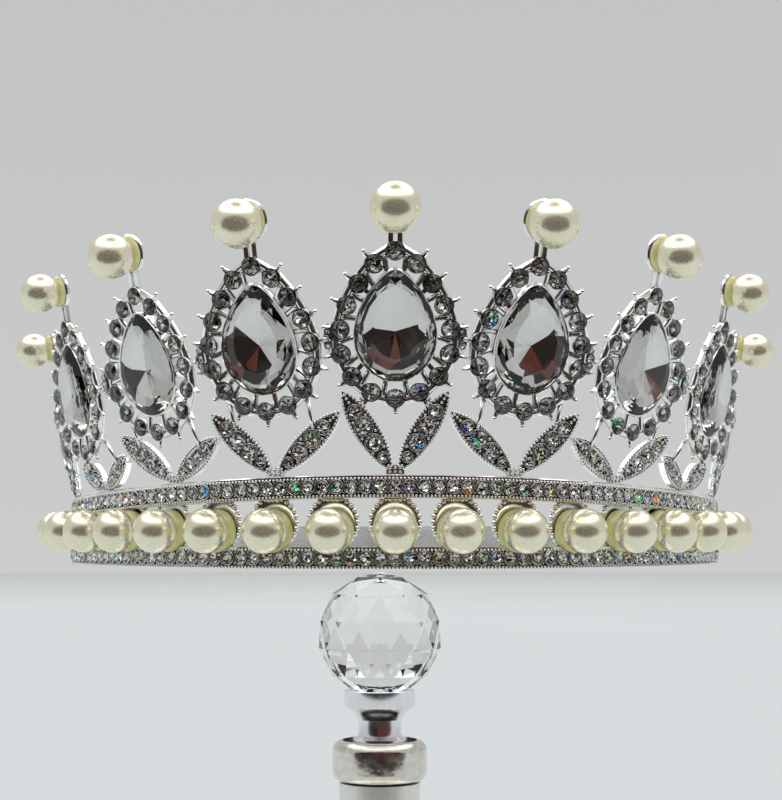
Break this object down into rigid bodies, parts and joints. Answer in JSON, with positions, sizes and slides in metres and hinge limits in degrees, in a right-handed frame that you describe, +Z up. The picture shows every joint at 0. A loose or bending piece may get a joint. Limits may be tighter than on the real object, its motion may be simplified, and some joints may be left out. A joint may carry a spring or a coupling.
{
  "type": "tiara on display stand",
  "caption": "Crown tiara with pear-shaped stones in stone-set drops, pearl tops, leaf pairs and a pearl row between two rails, on a turned display stand.",
  "frame": {"origin": "on the axis of the tiara's ring, at the underside of the stand's foot. The stand's own axis is 3.3 mm towards -X, as in the picture", "axes": "+Z up, -Y towards the front of the tiara, +X to the right of someone who faces its front"},
  "size_m": [0.1636, 0.1632, 0.1735],
  "materials": {
    "silver_plate": "bright silver plate",
    "cut_crystal": "faceted and polished",
    "imitation_pearl": "cream pearl lustre",
    "clear_acrylic": "clear and polished",
    "chrome": "polished",
    "nickel": "warm nickel, polished",
    "satin_metal": "pale satin plate"
  },
  "bodies": {
    "root": {"base_band": "silver_plate", "band_pearl_01": "imitation_pearl", "band_pearl_02": "imitation_pearl", "band_pearl_03": "imitation_pearl", "band_pearl_04": "imitation_pearl", "band_pearl_05": "imitation_pearl", "band_pearl_06": "imitation_pearl", "band_pearl_07": "imitation_pearl", "band_pearl_08": "imitation_pearl", "band_pearl_09": "imitation_pearl", "band_pearl_10": "imitation_pearl", "band_pearl_11": "imitation_pearl", "band_pearl_12": "imitation_pearl", "band_pearl_13": "imitation_pearl", "band_pearl_14": "imitation_pearl", "band_pearl_15": "imitation_pearl", "band_pearl_16": "imitation_pearl", "band_pearl_17": "imitation_pearl", "leaf_pair_1": "silver_plate", "leaf_pair_2": "silver_plate", "leaf_pair_3": "silver_plate", "leaf_pair_4": "silver_plate", "leaf_pair_5": "silver_plate", "leaf_pair_6": "silver_plate", "leaf_pair_7": "silver_plate", "setting_1": "silver_plate", "setting_2": "silver_plate", "setting_3": "silver_plate", "setting_4": "silver_plate", "setting_5": "silver_plate", "setting_6": "silver_plate", "setting_7": "silver_plate", "setting_8": "silver_plate", "setting_9": "silver_plate", "pear_stone_1": "cut_crystal", "pear_stone_2": "cut_crystal", "pear_stone_3": "cut_crystal", "pear_stone_4": "cut_crystal", "pear_stone_5": "cut_crystal", "pear_stone_6": "cut_crystal", "pear_stone_7": "cut_crystal", "pear_stone_8": "cut_crystal", "pear_stone_9": "cut_crystal", "top_pearl_1": "imitation_pearl", "top_pearl_2": "imitation_pearl", "top_pearl_3": "imitation_pearl", "top_pearl_4": "imitation_pearl", "top_pearl_5": "imitation_pearl", "top_pearl_6": "imitation_pearl", "top_pearl_7": "imitation_pearl", "top_pearl_8": "imitation_pearl", "top_pearl_9": "imitation_pearl", "stand_disc": "clear_acrylic", "stand_ball": "cut_crystal", "stand_socket": "chrome", "stand_collar": "nickel", "stand_post": "satin_metal", "stand_foot": "satin_metal"}
  },
  "joints": []
}
